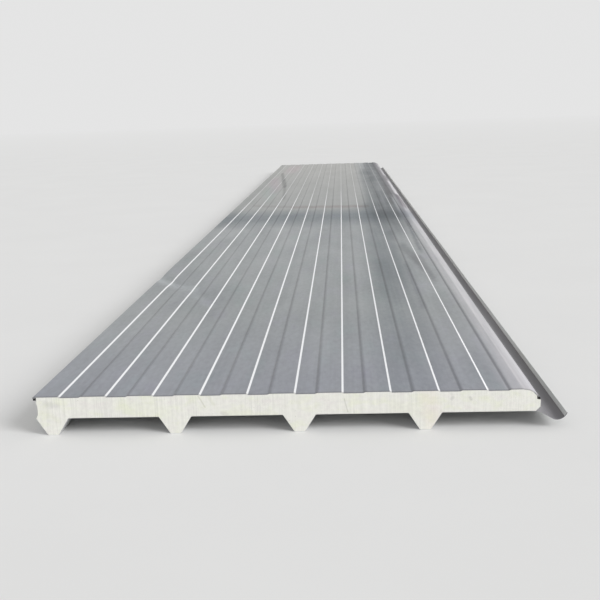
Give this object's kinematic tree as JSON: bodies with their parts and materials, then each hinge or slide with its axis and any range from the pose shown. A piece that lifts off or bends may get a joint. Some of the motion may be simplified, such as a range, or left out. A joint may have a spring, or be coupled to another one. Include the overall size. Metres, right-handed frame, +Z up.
{
  "type": "insulated sandwich roof panel",
  "caption": "Insulated roof sandwich panel: ribbed steel outer sheet with a free overlap rib, rigid foam core and micro-ribbed steel liner, lying on its ribs.",
  "frame": {"origin": "middle of the panel's box at the level of the rib crowns it lies on", "axes": "+X across the panel from the first rib to the overlap rib, +Y along its length, +Z up through the thickness, from the ribs to the liner"},
  "size_m": [1.0656, 8, 0.08],
  "materials": {
    "outer_coat": "satin",
    "foam": "matte",
    "liner_coat": "satin",
    "seal": "matte"
  },
  "bodies": {
    "root": {"outer_sheet": "outer_coat", "foam_core": "foam", "liner_sheet": "liner_coat", "tongue_seal": "seal", "lip_seal": "seal"}
  },
  "joints": []
}
